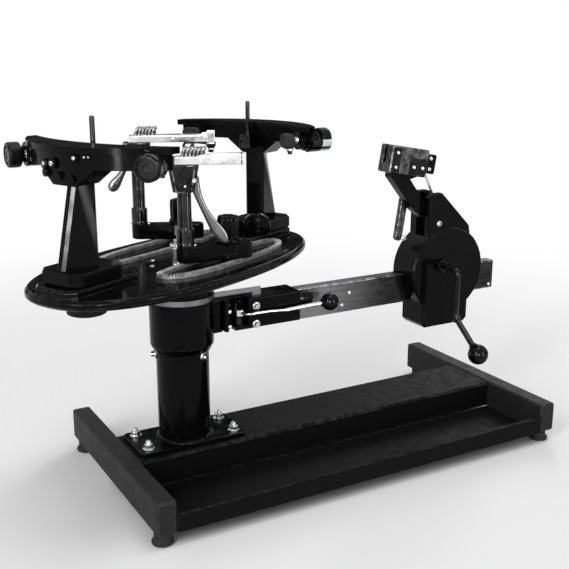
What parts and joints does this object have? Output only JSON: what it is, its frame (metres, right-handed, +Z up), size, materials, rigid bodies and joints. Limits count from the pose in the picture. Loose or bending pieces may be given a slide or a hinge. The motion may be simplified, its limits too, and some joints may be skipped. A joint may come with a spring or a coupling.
{
  "type": "racket stringing machine",
  "caption": "Tabletop racket stringing machine with a turntable, frame mounting towers, string clamps and a crank tension head on a rail.",
  "frame": {"origin": "Middle of the bounding box at floor level, under the four feet.", "axes": "+X runs along the base and the tension rail towards the tension head, +Y runs from the tool tray side to the rear, +Z is up."},
  "size_m": [0.867, 0.4352, 0.583],
  "materials": {
    "powder_black": "satin black powder coat with a fine grain",
    "gloss_black": "glossy black paint over castings",
    "black_rubber": "matt black rubber",
    "black_phenolic": "polished black moulded plastic",
    "rail_steel": "brushed dark grey steel",
    "dark_steel": "polished dark steel",
    "lever_grey": "satin grey coated steel",
    "jaw_alloy": "machined bright aluminium",
    "track_steel": "milled toothed steel",
    "chrome": "bright chrome plate"
  },
  "bodies": {
    "base": {"leg_left": "powder_black", "leg_right": "powder_black", "foot_front_left": "black_rubber", "foot_front_right": "black_rubber", "foot_rear_left": "black_rubber", "foot_rear_right": "black_rubber", "beam": "powder_black", "tool_tray": "powder_black", "column": "gloss_black", "hub_sleeve": "gloss_black", "rail_bracket": "gloss_black", "tension_rail": "rail_steel", "rail_bumper": "black_rubber", "brake_band": "rail_steel", "brake_bolt": "chrome"},
    "brake": {"brake_lever": "chrome", "brake_ball": "black_phenolic"},
    "turntable": {"turntable": "gloss_black", "centre_bolt": "chrome", "clamp_track_near": "track_steel", "clamp_track_far": "track_steel"},
    "tower_right": {"tower_right": "gloss_black"},
    "lock_wheel_right": {"lock_wheel_right": "black_phenolic"},
    "centre_support_right": {"centre_support_right": "dark_steel"},
    "shoulder_pad_right_a": {"shoulder_pad_right_a": "black_rubber"},
    "shoulder_knob_right_a": {"shoulder_knob_right_a": "black_phenolic"},
    "shoulder_pad_right_b": {"shoulder_pad_right_b": "black_rubber"},
    "shoulder_knob_right_b": {"shoulder_knob_right_b": "black_phenolic"},
    "tower_left": {"tower_left": "gloss_black"},
    "lock_wheel_left": {"lock_wheel_left": "black_phenolic"},
    "centre_support_left": {"centre_support_left": "dark_steel"},
    "shoulder_pad_left_a": {"shoulder_pad_left_a": "black_rubber"},
    "shoulder_knob_left_a": {"shoulder_knob_left_a": "black_phenolic"},
    "shoulder_pad_left_b": {"shoulder_pad_left_b": "black_rubber"},
    "shoulder_knob_left_b": {"shoulder_knob_left_b": "black_phenolic"},
    "clamp_shoe_near": {"clamp_shoe_near": "dark_steel"},
    "clamp_base_near": {"clamp_base_near": "gloss_black", "clamp_post_near": "dark_steel"},
    "lock_knob_near": {"lock_knob_near": "black_phenolic"},
    "clamp_head_near": {"clamp_head_near": "gloss_black", "jaw_fixed_near": "jaw_alloy"},
    "jaw_moving_near": {"jaw_moving_near": "jaw_alloy"},
    "clamp_lever_near": {"clamp_lever_near": "lever_grey"},
    "clamp_shoe_far": {"clamp_shoe_far": "dark_steel"},
    "clamp_base_far": {"clamp_base_far": "gloss_black", "clamp_post_far": "dark_steel"},
    "lock_knob_far": {"lock_knob_far": "black_phenolic"},
    "clamp_head_far": {"clamp_head_far": "gloss_black", "jaw_fixed_far": "jaw_alloy"},
    "jaw_moving_far": {"jaw_moving_far": "jaw_alloy"},
    "clamp_lever_far": {"clamp_lever_far": "lever_grey"},
    "tension_head": {"head_housing": "gloss_black"},
    "crank": {"crank": "dark_steel", "crank_ball": "black_phenolic"},
    "tension_arm": {"tension_arm": "gloss_black", "gripper_body": "dark_steel", "tension_rod": "chrome"},
    "gripper_jaw": {"gripper_jaw": "rail_steel"},
    "release_lever": {"release_lever": "dark_steel"}
  },
  "joints": [
    {"name": "brake_lever_swing", "type": "hinge", "parent": "base", "child": "brake", "pos_m": [-0.09552, -0.02575, 0.2605], "axis": [0, 0, 1], "range_deg": [-60, 0]},
    {"name": "turntable_spin", "type": "hinge", "parent": "base", "child": "turntable", "pos_m": [-0.18311, -0.00275, 0.353], "axis": [0, 0, 1], "continuous": true},
    {"name": "tower_right_slide", "type": "slide", "parent": "turntable", "child": "tower_right", "axis": [-0.8886, -0.4587, 0], "range_m": [0, 0.03]},
    {"name": "lock_wheel_right_turn", "type": "hinge", "parent": "tower_right", "child": "lock_wheel_right", "pos_m": [0.00172, 0.09265, 0.333], "axis": [0, 0, 1], "range_deg": [-180, 180]},
    {"name": "centre_support_right_slide", "type": "slide", "parent": "tower_right", "child": "centre_support_right", "axis": [-0.8886, -0.4587, 0], "range_m": [0, 0.015]},
    {"name": "shoulder_pad_right_a_slide", "type": "slide", "parent": "tower_right", "child": "shoulder_pad_right_a", "axis": [-0.6115, -0.7912, 0], "range_m": [-0.003, 0.00375]},
    {"name": "shoulder_knob_right_a_turn", "type": "hinge", "parent": "shoulder_pad_right_a", "child": "shoulder_knob_right_a", "pos_m": [-0.05905, 0.19295, 0.527], "axis": [-0.6115, -0.7912, 0], "range_deg": [-720, 900]},
    {"name": "shoulder_pad_right_b_slide", "type": "slide", "parent": "tower_right", "child": "shoulder_pad_right_b", "axis": [-0.9992, -0.0401, 0], "range_m": [-0.003, 0.00375]},
    {"name": "shoulder_knob_right_b_turn", "type": "hinge", "parent": "shoulder_pad_right_b", "child": "shoulder_knob_right_b", "pos_m": [0.04827, -0.01499, 0.527], "axis": [-0.9992, -0.0401, 0], "range_deg": [-720, 900]},
    {"name": "tower_left_slide", "type": "slide", "parent": "turntable", "child": "tower_left", "axis": [0.8886, 0.4587, 0], "range_m": [-0.012, 0.018]},
    {"name": "lock_wheel_left_turn", "type": "hinge", "parent": "tower_left", "child": "lock_wheel_left", "pos_m": [-0.35728, -0.09265, 0.333], "axis": [0, 0, 1], "range_deg": [-180, 180]},
    {"name": "centre_support_left_slide", "type": "slide", "parent": "tower_left", "child": "centre_support_left", "axis": [0.8886, 0.4587, 0], "range_m": [0, 0.015]},
    {"name": "shoulder_pad_left_a_slide", "type": "slide", "parent": "tower_left", "child": "shoulder_pad_left_a", "axis": [0.6115, 0.7912, 0], "range_m": [-0.003, 0.00375]},
    {"name": "shoulder_knob_left_a_turn", "type": "hinge", "parent": "shoulder_pad_left_a", "child": "shoulder_knob_left_a", "pos_m": [-0.29651, -0.19295, 0.527], "axis": [0.6115, 0.7912, 0], "range_deg": [-720, 900]},
    {"name": "shoulder_pad_left_b_slide", "type": "slide", "parent": "tower_left", "child": "shoulder_pad_left_b", "axis": [0.9992, 0.0401, 0], "range_m": [-0.003, 0.00375]},
    {"name": "shoulder_knob_left_b_turn", "type": "hinge", "parent": "shoulder_pad_left_b", "child": "shoulder_knob_left_b", "pos_m": [-0.40384, 0.01499, 0.527], "axis": [0.9992, 0.0401, 0], "range_deg": [-720, 900]},
    {"name": "clamp_near_slide", "type": "slide", "parent": "turntable", "child": "clamp_shoe_near", "axis": [0.8886, 0.4587, 0], "range_m": [-0.03, 0.03]},
    {"name": "clamp_near_swivel", "type": "hinge", "parent": "clamp_shoe_near", "child": "clamp_base_near", "pos_m": [-0.13003, -0.062, 0.378], "axis": [0, 0, 1], "range_deg": [-20, 20]},
    {"name": "clamp_near_lock_turn", "type": "hinge", "parent": "clamp_base_near", "child": "lock_knob_near", "pos_m": [-0.13003, -0.062, 0.41], "axis": [0, 0, 1], "range_deg": [0, 360]},
    {"name": "clamp_near_head_swivel", "type": "hinge", "parent": "clamp_base_near", "child": "clamp_head_near", "pos_m": [-0.19581, -0.05659, 0.493], "axis": [0, 0, 1], "range_deg": [-60, 0]},
    {"name": "clamp_near_lever_swing", "type": "hinge", "parent": "clamp_head_near", "child": "clamp_lever_near", "pos_m": [-0.18218, -0.06286, 0.4866], "axis": [-0.4179, -0.9085, 0], "range_deg": [0, 30]},
    {"name": "clamp_near_jaw_close", "type": "slide", "parent": "clamp_head_near", "child": "jaw_moving_near", "axis": [0.4179, 0.9085, 0], "range_m": [0, 0.0032]},
    {"name": "clamp_far_slide", "type": "slide", "parent": "turntable", "child": "clamp_shoe_far", "axis": [0.8886, 0.4587, 0], "range_m": [-0.03, 0.012]},
    {"name": "clamp_far_swivel", "type": "hinge", "parent": "clamp_shoe_far", "child": "clamp_base_far", "pos_m": [-0.13353, 0.10612, 0.378], "axis": [0, 0, 1], "range_deg": [-15, 20]},
    {"name": "clamp_far_lock_turn", "type": "hinge", "parent": "clamp_base_far", "child": "lock_knob_far", "pos_m": [-0.13353, 0.10612, 0.41], "axis": [0, 0, 1], "range_deg": [0, 360]},
    {"name": "clamp_far_head_swivel", "type": "hinge", "parent": "clamp_base_far", "child": "clamp_head_far", "pos_m": [-0.19396, 0.13265, 0.493], "axis": [0, 0, 1], "range_deg": [-30, 60]},
    {"name": "clamp_far_lever_swing", "type": "hinge", "parent": "clamp_head_far", "child": "clamp_lever_far", "pos_m": [-0.2078, 0.13844, 0.4996], "axis": [0.3859, 0.9225, 0], "range_deg": [0, 30]},
    {"name": "clamp_far_jaw_close", "type": "slide", "parent": "clamp_head_far", "child": "jaw_moving_far", "axis": [0.3859, 0.9225, 0], "range_m": [0, 0.0032]},
    {"name": "head_slide", "type": "slide", "parent": "base", "child": "tension_head", "axis": [1, 0, 0], "range_m": [-0.055, 0.05]},
    {"name": "crank_turn", "type": "hinge", "parent": "tension_head", "child": "crank", "pos_m": [0.28288, -0.04775, 0.302], "axis": [0, 1, 0], "range_deg": [-200, 182]},
    {"name": "tension_arm_tilt", "type": "hinge", "parent": "tension_head", "child": "tension_arm", "pos_m": [0.27988, -0.01775, 0.374], "axis": [0, -1, 0], "range_deg": [0, 6], "stiffness_Nm_per_rad": 40, "springref_deg": -11.46},
    {"name": "gripper_jaw_close", "type": "slide", "parent": "tension_arm", "child": "gripper_jaw", "axis": [0, -1, 0], "range_m": [0, 0.0032]},
    {"name": "release_lever_swing", "type": "hinge", "parent": "tension_arm", "child": "release_lever", "pos_m": [0.22939, -0.00275, 0.417], "axis": [0, 1, 0], "range_deg": [0, 25]}
  ],
  "couplings": [
    {"joint": "shoulder_knob_right_a_turn", "follows": "shoulder_pad_right_a_slide", "rad_per_m": 4188.7},
    {"joint": "shoulder_knob_right_b_turn", "follows": "shoulder_pad_right_b_slide", "rad_per_m": 4188.7},
    {"joint": "shoulder_knob_left_a_turn", "follows": "shoulder_pad_left_a_slide", "rad_per_m": 4188.7},
    {"joint": "shoulder_knob_left_b_turn", "follows": "shoulder_pad_left_b_slide", "rad_per_m": 4188.7},
    {"joint": "clamp_near_jaw_close", "follows": "clamp_near_lever_swing", "m_per_rad": 0.006},
    {"joint": "clamp_far_jaw_close", "follows": "clamp_far_lever_swing", "m_per_rad": 0.006},
    {"joint": "crank_turn", "follows": "head_slide", "rad_per_m": 62.5}
  ]
}
